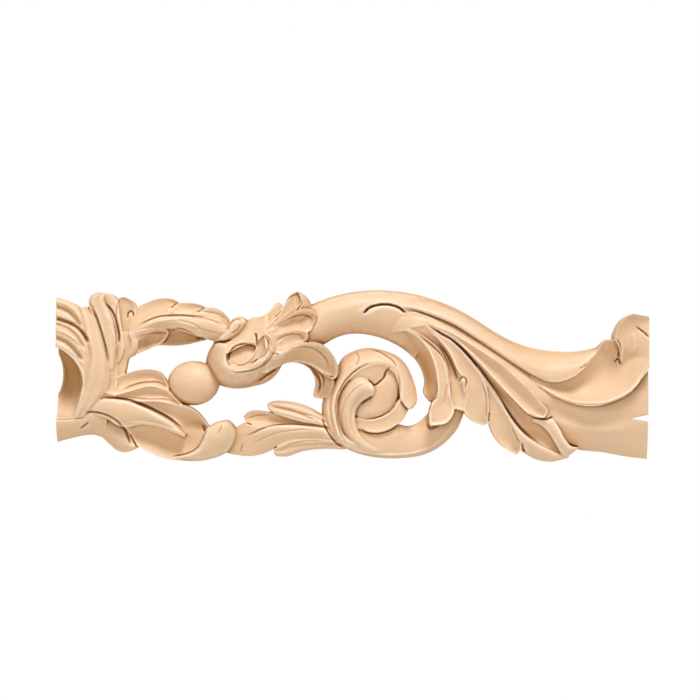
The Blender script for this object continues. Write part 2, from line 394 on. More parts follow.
leaf(left=[(15.5, 13.6, 11), (19.6, 11.2, 11.4), (22.6, 7.6, 11.6), (24.3, 3.4, 11.8), (25.1, -1, 12),
           (25.1, -5.4, 12), (23.6, -8.2, 12), (22.7, -11.4, 12.4), (22.9, -14.8, 12.8)],
     right=[(16.5, 14, 11.4), (21.5, 11.3, 12), (25.6, 7.7, 12), (27.7, 3.6, 12), (28.6, -1, 12),
            (28.8, -6, 12), (29.9, -10, 12), (28, -13.6, 12.4), (22.9, -14.8, 12.8)],
     belly=[0, -0.5, -0.7, -1, -1.2])
leaf(left=[(18.5, 13.8, 11), (22.6, 11.2, 9.6), (26.2, 7.2, 9.2), (28.2, 2.6, 9.2), (28.9, -2.4, 10),
           (29, -6.8, 10.5), (30.2, -9.8, 11)],
     right=[(20.5, 14.2, 11.4), (24.6, 11, 10), (28.2, 6.6, 9.6), (30.8, 1.6, 9.6), (32.2, -1.6, 10),
            (33.4, -6.6, 10), (33.2, -10.6, 10)],
     belly=[0, -0.4, -0.8, -0.8, -0.6])
leaf(left=[(21, 14.3, 11.4), (25.2, 11.1, 11.4), (28.9, 6.6, 11.2), (31, 2, 11), (33.2, -1.4, 10.8),
           (33.7, -6, 10.4), (33.2, -10.8, 10), (35.4, -13.4, 9.4), (38.6, -14.8, 9)],
     right=[(22, 14.6, 12), (27, 11.8, 11.6), (32.2, 7.4, 11.6), (36.2, 2.9, 11.4), (38.8, -1.6, 11.2),
            (39.9, -6.4, 11), (40.1, -11, 10.6), (40.2, -14, 10), (38.6, -14.8, 9)],
     belly=[0, -0.4, -1, -1.2, -1.4, -1])
leaf(left=[(36, 3, 10.5), (38.9, -2, 10), (40, -7, 9.6), (40.3, -12, 9.4), (41.2, -16.4, 9),
           (43.8, -20.4, 8.6), (48.6, -23.6, 8.4)],
     right=[(36.8, 2.8, 11), (40, -1.9, 11.2), (43.4, -6.9, 11), (46.2, -12.4, 10.4), (48.2, -17.6, 10),
            (50, -21, 9.4), (48.6, -23.6, 8.4)],
     belly=[0, -0.6, -1.2, -1.6, -1.2])
leaf(left=[(42, -5, 10.6), (45, -9.8, 10.4), (48, -14.4, 10.2), (50.8, -17.6, 10), (54, -20, 9.6),
           (58, -22.2, 8.6), (63.8, -24.3, 7.5)],
     right=[(42.6, -7.6, 9.8), (46, -13.2, 9.4), (47.8, -18, 8.8), (49.6, -21.6, 8), (53, -24.3, 7),
            (58.4, -25.6, 6.5), (63.8, -24.5, 7)],
     belly=[0, 0.3, 0.8, 1, 0.8])
leaf(left=[(26, 13, 11), (31, 9.9, 11), (36.4, 4.6, 10.6), (42, -1.6, 10.4), (46.4, -6, 10.2),
           (50.6, -9.8, 10), (55, -12.4, 9.6), (58.8, -14, 9.6), (61, -17, 9.4), (64, -21.2, 9)],
     right=[(25.6, 12.4, 8.4), (30.2, 9.6, 8), (35, 4.6, 7.6), (39.6, -1.6, 7.4), (43.8, -7.8, 7.4),
            (47.6, -13.2, 7.4), (51.6, -17.8, 7.6), (55.8, -20.8, 8), (59.8, -23, 8), (64, -24.2, 8)],
     belly=[0, -0.5, -1, -1.4, -1.8, -1.8, -1], crest=0.55)
leaf(left=[(54, -12.6, 9), (58.8, -13, 10), (61, -16, 10.4), (62.6, -19, 10.4), (64.6, -21.2, 10),
           (66.8, -21.6, 9)],
     right=[(53, -13.4, 8.6), (56, -14.8, 9.4), (58.4, -17.4, 9.6), (60.2, -20.4, 9.4), (62.8, -23.9, 8.4),
            (66.8, -21.6, 8)],
     belly=[0.2, 0.6, 0.8, 0.6])
leaf(left=[(22, 16.4, 11.6), (28, 13.4, 12), (34, 9.9, 12.2), (40, 6, 12.4), (44, 3.3, 12.6),
           (48, -0.4, 12.6), (52, -4.2, 12.6), (55, -7.6, 12.6), (57.5, -10.8, 12.4), (56.4, -12.5, 12.2)],
     right=[(22.6, 15, 11.6), (27.4, 12.4, 12), (32, 9.2, 12), (36.6, 4.9, 12), (40.6, 0.6, 12),
            (44.6, -3.8, 12), (48.4, -7.8, 12), (51.6, -10.9, 12), (54, -12.3, 12), (56.4, -12.5, 12.2)],
     belly=[0, -0.5, -1.2, -1.8, -2.2, -2.2, -1.4])
leaf(left=[(12, 20.6, 8), (17, 20, 9.8), (23, 18.5, 9), (29.6, 16, 8.4), (36, 12.2, 8.6),
           (42, 8.2, 9.2), (48, 4.2, 9.2), (54, -0.8, 9.2), (58, -3.8, 9.2), (62, -6.2, 9)],
     right=[(12, 14, 8), (17, 14.4, 11.4), (23, 15, 11.8), (29, 12.8, 12), (35, 9.3, 12), (41, 5.4, 12),
            (46, 1.4, 12), (50.4, -2.8, 12), (55, -7.8, 11.2), (59, -12.5, 8.4)],
     belly=[0.4, 0.6, 0.4, 0.4, 0.6, 0.6])
leaf(left=[(15, 14.6, 10.9), (18.8, 12.6, 10.3), (22, 10, 9.2)],
     right=[(23.5, 15.6, 12), (24.6, 13, 11.2), (26, 10.5, 9.4)],
     belly=[0, 0.2, 0])
leaf(left=[(8, 17.5, 7.6), (12, 17.6, 9.6), (18, 16.8, 11.3), (23.5, 16, 11.9)],
     right=[(8, 12.6, 7), (12, 13, 9.3), (17, 13.4, 10.9), (21, 12.8, 10.8)],
     belly=[0.3, 0.5, 0.3, 0])
leaf(left=[(31.6, 0.6, 9.6), (31.7, -1.2, 10.1), (32, -3.6, 9.6)],
     right=[(32.6, 0.6, 9.8), (33.4, -1.2, 10.3), (33.6, -3.6, 9.8)],
     belly=[0, 0.2, 0])

# Right end.  A lower stem and a deep cup leaf with a curled lip, both sawn off square.
DEPTH = 15.875
SPLIT = ((81.7, -12.9), (89.0, -11.3), (89.0, -14.0))


def finish_with(kind, **settings):
    """Add a modifier to the active piece with its settings, and apply it."""
    modifier = bpy.context.object.modifiers.new(kind, kind)
    for name, value in settings.items():
        setattr(modifier, name, value)
    bpy.ops.object.modifier_apply(modifier=modifier.name)


leaf(left=[(50, 2.5, 8.6), (55, 0, 8.6), (61, -3.8, 8.6), (68, -6.8, 8.4), (74, -6.7, 8), (80, -4, 7.8),
           (84.5, -0.4, 7.8), (88.5, 5, 7.8)],
     right=[(52.6, -10, 9), (57.6, -13.4, 8.6), (60.6, -17, 7.6), (63, -20.4, 6.2), (66.6, -21.9, 5),
            (74, -22.8, 4.6), (80.5, -24, 4.6), (88.5, -25, 4.6)],
     belly=[0.3, 1, 1.8, 2.4, 2.6, 2.6, 2.6], crest=0.45)
stem = leaves[-1]
bpy.ops.object.select_all(action="DESELECT")
bpy.ops.mesh.primitive_cylinder_add(vertices=3, depth=2, end_fill_type="NGON")
wedge = bpy.context.object
for corner in wedge.data.vertices:
    x, z = SPLIT[corner.index // 2]
    corner.co = (x, -DEPTH - BEHIND if corner.co.z < 0 else 2 * BEHIND, z)
bpy.ops.object.mode_set(mode="EDIT")
bpy.ops.mesh.select_all(action="SELECT")
bpy.ops.mesh.normals_make_consistent(inside=False)
bpy.ops.object.mode_set(mode="OBJECT")
bpy.context.view_layer.objects.active = stem
finish_with("BOOLEAN", operation="DIFFERENCE", solver="EXACT", object=wedge)
bpy.data.objects.remove(wedge)
leaf(left=[(52, 1.8, 10), (58, -0.8, 10.4), (64, -0.2, 10.4), (68.6, 2.6, 10), (71.4, 5.8, 9.6),
           (73.2, 8.8, 9.6), (75.4, 10.6, 10.4), (77.4, 10.7, 11)],
     right=[(54, -3.2, 10.4), (60, -6.3, 11.6), (66, -8.4, 12.2), (72, -8.7, 12.6), (77, -7.4, 12.8),
            (82, -4.6, 12.8), (85.6, 0, 12.6), (88.6, 5, 12.4)],
     belly=[0, -1.4, -3.2, -4.2, -4.4, -4.2, -3.4], crest=0.4)
leaf(left=[(79.4, 3.5, 7.2), (79.2, 6.2, 9.4), (78.7, 8.6, 11.4), (77.3, 11, 12.4), (78, 13.8, 12.6),
           (79.8, 16.6, 12.8), (82.8, 18.4, 12.8)],
     right=[(84.6, -1.3, 12.2), (87.8, 3.4, 12.4), (88.6, 8, 12.4), (88.6, 11, 12.4), (88.6, 13.5, 12.2),
            (88.6, 16.4, 12), (82.8, 18.4, 12.8)],
     belly=[-3, -2.8, -2.4, -2, -1.6, -1.2])

# Scroll.  An outer band winds round an eye, with a curled tube inside it, a ring below and the stem that
# carries it back to the big leaf.
leaf(left=[(-3, -14, 5), (-3, -6, 5), (0, 0, 5), (6, 3, 5), (12, 2.6, 5)],
     right=[(0, -17, 5), (5, -16, 5), (11, -14.4, 5), (14, -10, 5), (15.4, -5, 5)],
     belly=[0, 0.5, 0.5, 0])
leaf(left=[(14, -24.5, 4.2), (9, -24, 4.8), (4, -23.3, 5.4), (-1.5, -21.8, 6), (-4.8, -19.7, 6),
           (-7.4, -16.3, 6), (-8.7, -12.4, 6), (-8.7, -8, 6), (-7.2, -4.4, 6), (-5, -1, 6),
           (-4.2, 2.4, 6), (-3, 5, 6), (0, 7, 6), (4.8, 8.1, 6), (9.4, 7.3, 6), (13.2, 5.7, 6),
           (16, 2.9, 6), (17.8, -1, 6.5), (18.9, -5.2, 7.5), (18.8, -8.2, 9), (17.6, -9.8, 10)],
     right=[(12.5, -23.6, 6.6), (7.4, -22.6, 7.2), (2.8, -21, 8.2), (-0.4, -19.6, 9.4),
            (-2.6, -17.6, 9.8), (-4, -14.6, 10), (-4.6, -11, 10.2), (-4.4, -7, 10.4), (-3.2, -3.9, 10.6),
            (-1.2, -1.2, 10.8), (1.4, 0.9, 10.8), (4.6, 2.2, 10.6), (7.8, 2.8, 10.2), (10.4, 2.4, 9.8),
            (12.3, 1, 9.6), (13.5, -1.4, 9.6), (14, -4, 9.8), (14.3, -6.6, 10), (15, -8.6, 10),
            (16.4, -10, 10)],
     belly=[0, 1, 2, 2, 2, 2, 2, 1.6, 0.8])
leaf(left=[(9, -23.4, 6.6), (4.6, -22.6, 7.2), (1.2, -21.2, 7.8), (-1.8, -18.4, 8), (-3.5, -15, 8),
           (-4.2, -11.4, 8), (-4, -7.6, 8.2), (-3, -4.4, 8.6), (-1.2, -1.8, 9), (1.2, -0.2, 9.4),
           (3.8, -0.6, 9.6), (5.6, -2, 9.6), (6.6, -4.2, 9.4)],
     right=[(9.8, -23, 6.6), (7, -21.6, 7.6), (4.6, -20, 8.2), (2.4, -17.8, 8.6), (1, -14.8, 8.8),
            (0.7, -12, 9), (1.1, -10, 9.2), (2.1, -8.3, 9.4), (3.4, -7.4, 9.6), (4.8, -6.8, 9.6),
            (5.8, -6.2, 9.6), (6.4, -5.4, 9.6), (6.6, -4.2, 9.4)],
     belly=[0.4, 1.2, 1.6, 1.8, 2.2, 2.6, 2.4, 1.6])
leaf(left=[(2, -13.4, 6.4), (0.9, -11, 6.6), (1.6, -8, 6.6), (3.4, -4.6, 6.8), (6, -1.6, 7), (9, 1.4, 7),
           (11.6, 3.2, 7)],
     right=[(2, -13.4, 6.4), (5.6, -13, 6.4), (9.2, -12, 6.4), (12, -9.8, 6.4), (13.6, -6.6, 6.4),
            (14, -3, 6.6), (13.2, 0.6, 6.8), (11.6, 3.2, 7)],
     belly=[1.4, 2.4, 2.6, 2.4, 1.4], rounded=True)
leaf(left=[(-1.4, -0.8, 10.4), (1, 1.6, 10.6), (4, 3.2, 10.6), (7.4, 3.8, 10.4), (11.3, 2.7, 10)],
     right=[(0.4, -1.6, 9.6), (3, -0.9, 9.6), (4.8, -1.5, 9.4), (6.3, -2.8, 9), (8.6, -1.2, 9),
            (9.7, 0.8, 9.2), (11.3, 2.7, 9.6)],
     belly=[0, 0.5, 0.4, 0])
leaf(left=[(-0.6, -12.6, 7.6), (4.8, -13, 8.6), (8.6, -12.3, 9), (11.6, -10.2, 9.2), (13.3, -7.8, 9.4),
           (14.4, -6.8, 9.4)],
     right=[(-0.2, -14.6, 7.6), (4.4, -16.7, 8.6), (8, -16.9, 9), (11.4, -15.8, 9), (14.6, -13.2, 9),
            (16.6, -9.9, 9)],
     belly=[0, -0.5, -0.8, -0.6, 0], crest=0.4)
leaf(left=[(2, -15.6, 7), (5, -16.9, 7), (8, -17.1, 7), (11, -16.3, 7), (13.8, -14.9, 7),
           (16.4, -15.35, 6), (19, -14.7, 5.4), (21.4, -12.8, 5.2), (24.2, -10, 5.4), (31, -9, 6)],
     right=[(-3, -20.4, 7), (0.4, -22.1, 7), (5, -23.2, 7), (10, -23.7, 7), (15, -23.5, 7),
            (19.8, -22.6, 7), (23.8, -20.8, 7), (27, -18, 7), (29.6, -14.6, 7), (31.2, -10.2, 7)],
     belly=[0.8, 0.8, 0.8, 0.8, 0.8])
leaf(left=[(-3, -19.6, 6.6), (0.4, -21.3, 6.8), (5, -22.6, 6.8), (10, -23.1, 6.8), (15, -23, 6.8),
           (19.6, -22.1, 6.8), (23.4, -20.3, 6.8), (26.6, -17.6, 6.8), (29, -14.2, 6.8), (30.6, -10, 6.8)],
     right=[(-3, -21, 4.6), (0.4, -22.8, 4.2), (5, -24.1, 3.8), (10, -24.7, 3.6), (15, -24.65, 3.6),
            (20.2, -23.9, 3.6), (24.6, -22.1, 3.8), (28.2, -19.3, 4.2), (31.2, -15.6, 4.8),
            (33.1, -10.6, 5)],
     belly=[0.4, 0.8, 0.8, 0.8])

# Spray.  A low spray of leaves lies between the broad leaf and the scroll.
leaf(left=[(-25.1, -8.4, 7), (-23.4, -7.85, 7), (-20, -7.85, 7), (-16.6, -8.4, 7), (-13, -9.6, 7),
           (-9.6, -11.5, 7), (-6, -13.8, 7)],
     right=[(-25.1, -8.4, 7), (-24.4, -10.3, 7.6), (-21.8, -11.5, 8), (-18, -12.8, 8.2),
            (-14.4, -13.7, 8.2), (-10.6, -14.3, 8.2), (-6, -15.4, 8)],
     belly=[0, 0.4, 0.6, 0.6, 0.4], ribs=2, rib=0.5)
leaf(left=[(-32.1, -12.2, 7), (-30.8, -11, 7), (-28.4, -10.65, 7), (-25.6, -11, 7), (-22.4, -11.6, 7),
           (-18, -12.8, 7), (-13, -14, 7), (-7, -15.4, 7)],
     right=[(-32.1, -12.2, 7), (-31.2, -14, 7.4), (-28.8, -14.9, 7.6), (-25, -15.1, 7.8),
            (-20, -14.6, 8), (-15, -14.7, 8), (-10.5, -15.2, 8), (-7, -15.9, 8)],
     belly=[-0.4, -1.4, -1.4, -0.8, -0.2])
leaf(left=[(-37, -18, 6), (-34.6, -15.8, 6.6), (-31.6, -14.3, 7), (-27.6, -15.3, 7.8), (-22, -14.9, 8.2),
           (-16, -14.8, 8.4), (-10, -15.4, 8.4), (-4, -17, 8)],
     right=[(-38, -22.8, 5.4), (-34.8, -23.5, 5.4), (-30, -23.95, 5.4), (-26, -23.1, 5.6),
            (-22.6, -21.4, 6.4), (-18, -19.4, 7.4), (-11, -19, 7.6), (-3, -19.8, 7.4)],
     belly=[0.4, 0.5, 0.7, 0.8, 0.8], crest=0.35)
leaf(left=[(-23.2, -22, 6.4), (-21.4, -20.4, 7), (-18.6, -19, 7.4), (-14, -18.7, 7.6), (-9, -18.8, 7.6),
           (-3, -19.4, 7.4)],
     right=[(-23.2, -22, 6.4), (-22.9, -23.5, 6), (-19.8, -24.1, 5.6), (-15, -22.6, 5.6), (-9, -21.8, 5.6),
            (-2, -22, 5.6)],
     belly=[0, 0.6, 0.6, 0.4], ribs=2, rib=0.5)

# Cut lines.  With the leaves fused into one block, the carver's veins, slits and eyelets are cut into the
# face.  Each line is stamped along its path into a map of depths, and the face is pushed in by that map.
# A depth below 0 raises a fine rim instead.
LENGTH = 174.7
HEIGHT = 50.8
VOXEL = 0.2
CELL = 0.1
MARGIN = 4.0
FLOOR = 1.0
cuts = np.zeros((int((HEIGHT + 2 * MARGIN) / CELL), int((LENGTH + 2 * MARGIN) / CELL)))


def line(path, width, depth, rounded=False, taper=0.25):
    """Cut a line, V-shaped or round-bottomed, that runs out at both its ends."""
    points = [(x, z, 0.0) for x, z in path]
    length = np.linalg.norm(np.diff(np.array(points), axis=0), axis=1).sum()
    t = np.linspace(0, 1, int(length / (1.5 * CELL)) + 2)
    reach = int(width / CELL) + 2
    for (x, z, _), end in zip(smooth(points, t), np.clip(np.minimum(t, 1 - t) / taper, 0, 1)):
        column = (x + LENGTH / 2 + MARGIN) / CELL
        row = (z + HEIGHT / 2 + MARGIN) / CELL
        top, side = max(int(row) - reach, 0), max(int(column) - reach, 0)
        window = cuts[top:int(row) + reach, side:int(column) + reach]
        rows, columns = np.indices(window.shape)
        across = np.hypot(rows + top - row, columns + side - column) * CELL / width
        profile = (1 - np.clip(across, 0, 1) ** 2) ** 2 if rounded else 1 - np.clip(across, 0, 1)
        stamp = depth * np.sin(end * np.pi / 2) * profile
        window[:] = np.where(abs(stamp) > abs(window), stamp, window)


line([(-88, 17.2), (-85, 16.3), (-82, 15), (-79.8, 13.1), (-77.6, 10)], 0.93, 2.6, taper=0.12)
line([(-88, 20.7), (-84, 19.2), (-81.8, 17.2), (-80.2, 14.6)], 1.12, 1.3, rounded=True, taper=0.12)
line([(-88, 11.6), (-84.5, 10.1), (-82, 8), (-79.6, 4.8)], 1.12, 1.4, rounded=True, taper=0.12)
line([(-88, 15.6), (-84, 14.1), (-81.2, 11.8), (-79, 8.2)], 0.98, 0.9, rounded=True, taper=0.12)
line([(-88, 22.3), (-84, 21), (-81, 18.6), (-79.8, 16.2)], 0.5, -0.5, taper=0.2)
line([(-88, 13.8), (-83.4, 12.1), (-80.4, 9.7), (-78.3, 6.2)], 0.5, -0.5, taper=0.2)
line([(-88, 9.7), (-84, 8), (-81, 5.6), (-78.6, 3)], 0.5, -0.5, taper=0.2)
line([(-77.3, 21.6), (-75.8, 18.6), (-74, 13.4), (-72.7, 8.4), (-71.9, 3.4)], 0.56, 1.8)
line([(-77.2, 21.5), (-76.5, 20.6), (-75.8, 20.1)], 0.35, 0.8)
line([(-51.6, 21.6), (-52.5, 20.9), (-53.9, 20)], 0.37, 1.2)
line([(-43.5, 20.2), (-44.5, 19.5), (-46, 18.8)], 0.37, 1.2)
line([(-35.6, 16.3), (-36.5, 14.6), (-37, 13.4)], 0.37, 1.2)
line([(-54.2, 12.9), (-54.8, 11.8), (-55.5, 10.5), (-56.7, 9.9)], 0.35, 1)
line([(-64, 14.2), (-61, 16), (-57.5, 17.4), (-52.5, 17.9), (-47, 17.7), (-42.6, 17.1)], 0.43, 1.2)
line([(-42.7, -15.8), (-43.5, -17.5), (-44.3, -20)], 0.37, 1.4)
line([(-53.5, -24.2), (-50, -23.7), (-47, -22.6), (-45, -20.8), (-44.2, -19.3)], 0.37, 1)
line([(-66, -17), (-64.6, -19.5), (-63.8, -21)], 0.37, 1.6)
line([(-66.8, -14.2), (-63.3, -13.9), (-58.6, -14.4), (-53.8, -15.8), (-49.1, -17.2)], 0.45, -0.5)
line([(-38.5, -14.5), (-38.8, -15.9), (-39.7, -17.7)], 0.35, 0.6)
line([(-37, 13.6), (-35.8, 15.7), (-34, 16.7), (-32.4, 16.2)], 0.35, 0.9)
line([(-19.6, 6.5), (-16, 8.5), (-11.3, 8), (-7.8, 5), (-6.6, 1.5)], 0.35, 0.8)
line([(-23.1, 14.2), (-18.4, 17.1), (-14.2, 18), (-11.9, 16.8), (-12.2, 14.8)], 0.35, 0.8)
line([(-23.1, 9.2), (-20.7, 11.5), (-17.2, 12.4), (-14.8, 11.8), (-14.5, 10)], 0.35, 0.7)
line([(-20.2, 20.4), (-18.4, 23.3), (-16, 24.2), (-15.4, 22.2), (-16.6, 20.4)], 0.35, 0.7)
line([(-41, 9.5), (-39, 10.1), (-37, 10.2), (-35.6, 10.8)], 0.43, 2)
line([(-28, -2), (-26, -0.4), (-24, 1), (-22, 2.4)], 0.35, 1.4)
line([(-20.9, 19.3), (-21.8, 18.2), (-23, 17.2)], 0.35, 1)
line([(-15.1, 22.8), (-15, 21.5), (-15.8, 20), (-17, 18.5)], 0.35, 1.2)
line([(-10.5, 18), (-10.5, 16.8), (-11.5, 14.6), (-12.3, 13.6), (-13.3, 13.3)], 0.35, 1.2)
line([(-12.9, 12.3), (-13.3, 10.5), (-14.3, 9.6)], 0.35, 1.2)
line([(-9, 1), (-7, -0.2), (-5.6, -0.6), (-5.3, -1.3)], 0.35, 1.6)
line([(-14, 3), (-11.5, 1), (-10, -1), (-9.5, -3)], 0.35, 1.2)
line([(14, 20.5), (18, 19.8), (24, 17.8), (30, 15.2), (36, 11.4), (42, 7.3), (48, 3.3), (54, -0.2),
     (59, -1.9)], 0.4, 0.7, taper=0.15)
line([(21.3, -6), (23.1, -7.9), (25.2, -5.9)], 0.37, 2)
line([(28, -2), (27.4, -5), (26.9, -9)], 0.35, 0.5)
line([(19, 12.5), (24, 8.5), (26.3, 6), (28, 2), (28.5, -2), (28.8, -6)], 0.37, 1.4)
line([(25, 10), (28, 6.2), (30, 2), (31.2, -1.5)], 0.37, 1.4)
line([(38, -2), (39.3, -6), (39.5, -10), (39.3, -13)], 0.35, 0.8)
line([(40.2, -14), (40.2, -12.5), (40.2, -11)], 0.37, 1.8)
line([(46.8, -15), (48.5, -18.5), (49.6, -20.5)], 0.35, 0.8)
line([(50, -20), (50.3, -21.5), (51, -23)], 0.37, 2)
line([(22, 15), (26, 12.6), (30, 10.3), (34, 6), (38, 1), (42, -5), (46, -11), (50, -16.2),
      (54, -19.3), (55.5, -20)], 0.62, 1.8, taper=0.15)
line([(52, -11.3), (53.5, -12.2), (56, -12.9), (58.3, -12.7), (59.2, -12)], 0.43, 2.4)
line([(64, -20.2), (65.5, -21), (66.7, -21.2)], 0.37, 1.6)
line([(54, -3), (58, -5.3), (62, -7.1), (66, -8.3), (70, -8.6), (74, -8.3), (78, -7), (82, -4.7),
      (84, -2.8), (85.5, 0), (87.3, 3)], 0.37, 1.2, taper=0.1)
line([(57, -8.6), (62, -11.4), (68, -13.2), (75, -13.7), (81.5, -12.9)], 3, 0.9, rounded=True)
line([(9, -23.7), (15, -23.6), (19.8, -22.7), (23.8, -20.9), (27, -18.1), (29.6, -14.6)], 0.4, -0.3,
     taper=0.1)
line([(67, 2), (68, 2.6), (69, 3.4)], 0.35, 0.8)
line([(83.5, 14.6), (85, 13.5), (86.7, 12), (87.35, 11)], 0.37, 1.4)
line([(4.5, -1.3), (5.5, -2), (6.3, -2.8), (8, -1.8), (9.3, -0.5), (9.7, 1), (11.1, 2.6)], 0.37, 1.6,
     taper=0.1)
line([(2.5, -8.3), (4, -7.3), (6, -6)], 0.5, 2)
line([(0.5, 7), (1.6, 6), (1.8, 4.5), (0.7, 2.8)], 0.35, 0.8)
line([(-1.5, -20.7), (-3.5, -17), (-4.6, -13), (-4.9, -9), (-4.4, -6), (-3, -3), (-1, -0.3), (1, 1.5),
      (3.5, 3), (6, 3.8)], 0.37, 1.4)
line([(-5, -17.5), (-6.2, -13), (-6.6, -9), (-6, -5.5), (-5, -2.5)], 0.75, 0.8, rounded=True)
line([(2, -12.8), (5, -13), (8.5, -12.2), (11, -10.8), (12.8, -8.5), (13.7, -6), (13.9, -3),
      (13.3, 1)], 0.37, 1.4)
line([(5, 7.8), (8, 7), (10, 5.8), (12, 4.3), (13.3, 2)], 0.35, 1)
line([(14.3, -7.5), (15.2, -9), (16.5, -10.3)], 0.37, 2)
line([(2.3, -15.8), (4, -16.8), (7, -17.2), (10, -16.6), (12.5, -15.3), (13.7, -14.4)], 0.37, 1.6, taper=0.1)
line([(-9, -12), (-8.2, -15), (-6.5, -18), (-4.5, -20.3), (-2, -21.7)], 0.37, 1.6)
line([(-24.3, -10.7), (-23.8, -10.9), (-23.2, -11.2)], 0.35, 1.2)
line([(-31.3, -14.1), (-30.4, -14.5), (-29.7, -14.7)], 0.35, 1.2)
line([(-23.1, -21.7), (-22.7, -21.5), (-22.3, -21.4)], 0.35, 1.2)
line([(-33, -23.3), (-32.9, -22), (-32.3, -20.5)], 0.35, 0.6)
line([(-32, -18.5), (-30, -17.5), (-28, -16.5), (-26, -15.6), (-22, -14.8), (-16, -14.7),
      (-8, -15.7)], 0.37, 1.2)
line([(-24, -9), (-20, -10.2), (-16, -11), (-12, -12.2)], 0.35, 0.6)
line([(-63.9, 13.4), (-60.9, 14.9), (-57.4, 16.1), (-52.6, 16.8), (-47.9, 17.1), (-44.4, 16.7)], 0.4, -0.35)
line([(-64.8, 12.7), (-61.5, 13.4), (-57.4, 13.8), (-54.3, 12.9)], 0.35, -0.4)
line([(-63.9, 11.4), (-60.9, 12.3), (-57.4, 12.8), (-54.5, 12.5)], 0.4, 0.8)
line([(-54.4, 13.2), (-51.5, 14.1), (-47.9, 13), (-45, 11.2)], 0.4, 1.2)
line([(-46, 10.9), (-45.1, 11.4), (-43.5, 11)], 0.5, 1.6)
line([(-66.4, 17), (-66.4, 18.3), (-65.6, 19.2), (-64.8, 18.7), (-64.7, 17.5)], 0.32, 1.4, taper=0.1)
line([(-73, 21.4), (-71.5, 20.1), (-70.2, 17.9), (-69.4, 15.1), (-68.9, 12.1),
      (-68.9, 9.6)], 0.42, 1.8, taper=0.15)
line([(-72.4, 19.3), (-71.4, 16.2), (-70.4, 12.7), (-69.5, 9.7)], 0.5, -0.4)
line([(-68.9, 22.4), (-69.5, 20.4), (-69.7, 17.4), (-69.2, 13.9)], 0.35, 0.9)
line([(-74.5, -6.5), (-69.8, -6.8), (-65.6, -7.4), (-61.5, -8.9), (-57.4, -10.9), (-53.8, -13),
      (-50.9, -15.4), (-49.6, -16.8)], 0.6, 2.4)
line([(-68.6, -4.8), (-65.6, -3.2), (-61.5, -2.1), (-57.4, -2.1), (-54.4, -3.5)], 0.35, 0.8)
line([(-68.6, -6.1), (-64.5, -6.7), (-59.7, -7.1), (-55.6, -7.1), (-51.8, -7.8)], 0.35, 0.7)
line([(-78.9, -10.9), (-76.6, -10.8), (-73.9, -11.2), (-71, -12.4), (-68.6, -14.2), (-67.1, -16.8),
      (-66.1, -19.2), (-65.6, -20.6)], 0.42, 1.5, taper=0.1)
line([(-87.2, -13.2), (-83.4, -13), (-78.9, -12.5)], 0.35, 0.6, taper=0.1)
line([(-80.4, -15.7), (-79.1, -14.8), (-77.8, -13.8)], 0.4, 1.2)
line([(-43.7, -16.9), (-44.3, -19.5), (-45.7, -21.9), (-48.5, -23.6)], 0.35, 0.8)
line([(-36.4, 4.7), (-36.1, 6.8), (-34.9, 8.3), (-33.2, 9.2), (-30.8, 9.4), (-28, 9)], 0.4, 1.8, taper=0.1)
line([(-28.4, 12.6), (-28.1, 10.9), (-28, 9)], 0.35, 1.8, taper=0.1)
line([(-35.8, 4.1), (-33.7, 3.1), (-30.8, 3.7), (-28.9, 5.5), (-28, 7.9)], 0.32, 0.6)
line([(-27.5, 12.2), (-25.5, 12.4), (-23.8, 10.9), (-23.5, 8.6), (-24.8, 6.2), (-27.2, 4.1), (-30.2, 2.7),
      (-33.2, 2.2)], 0.35, -0.45)
line([(-27.2, 11.3), (-25.5, 11.3), (-24.6, 9.7), (-25, 7.6), (-26.5, 5.6), (-29.1, 4.1),
      (-32, 3.2)], 0.35, 0.9)
line([(-22.1, 9.7), (-23, 6.8), (-24.8, 4.4), (-27.7, 2.3), (-31.3, 1.3), (-34.3, 1), (-36.1, 1.4)], 0.38, 1)
line([(-14.3, 3.8), (-11.9, 2.1), (-10.1, -0.3), (-9.5, -2.7), (-10.1, -5.3)], 0.45, 1.4)
line([(-12.5, 3.5), (-10, 1.5), (-8.5, -0.9), (-8.6, -3.8)], 0.35, 1)
line([(-36.5, 13.2), (-36.2, 14.9), (-35.3, 16.2), (-34.3, 16.7)], 0.5, 1.2)
line([(-35.8, 12.5), (-34, 13.5), (-32.8, 15.4)], 0.4, 0.8)
line([(-1.3, -20.1), (-2.9, -15.9), (-3.3, -11.8), (-2.1, -7.8), (0, -4.8), (2.9, -2.7),
      (5.2, -1.9)], 0.35, 0.5)
line([(1.7, -19.5), (0, -16.2), (-0.5, -13), (0, -9.6), (1.8, -6.6), (4.1, -4.8)], 0.35, 0.4)
line([(22.1, -14.5), (23, -15.7), (25.4, -14.9)], 0.6, 1.4)
line([(3.2, 18.4), (4.9, 20.1), (7.6, 21), (10.6, 21.1), (13.5, 20.3), (15.7, 18.7)], 0.5, 3.6, taper=0.12)
line([(77.2, 11), (78.4, 9.9), (79, 7.8), (78.5, 5.3)], 0.38, 1.4)
line([(77.5, 4), (78.5, 5), (79.4, 3.2)], 0.38, 1.4)
line([(82.6, 12.7), (83.1, 10.6), (83.2, 8.4), (82.6, 6.5)], 0.9, -0.5)
line([(31.6, -1.9), (31.8, -1), (32.5, -0.4), (33.2, -0.8), (33.6, -1.9), (33.5, -3.3)], 0.35, 1.2,
     taper=0.1)
line([(32.7, -1.3), (32.7, -2.4), (32.8, -3.8), (33, -5.4)], 0.55, -1.1, taper=0.15)
line([(-51.5, 16.4), (-47.9, 15.7), (-45, 14.2), (-42.9, 12.5)], 0.35, 0.5)
line([(-47.9, 17.1), (-44.4, 17.1), (-40.8, 16.2), (-37.8, 14.7)], 0.35, 0.6)
line([(-45.6, 19.1), (-42, 18.8), (-39.1, 18), (-37.1, 16.5)], 0.35, 0.5)
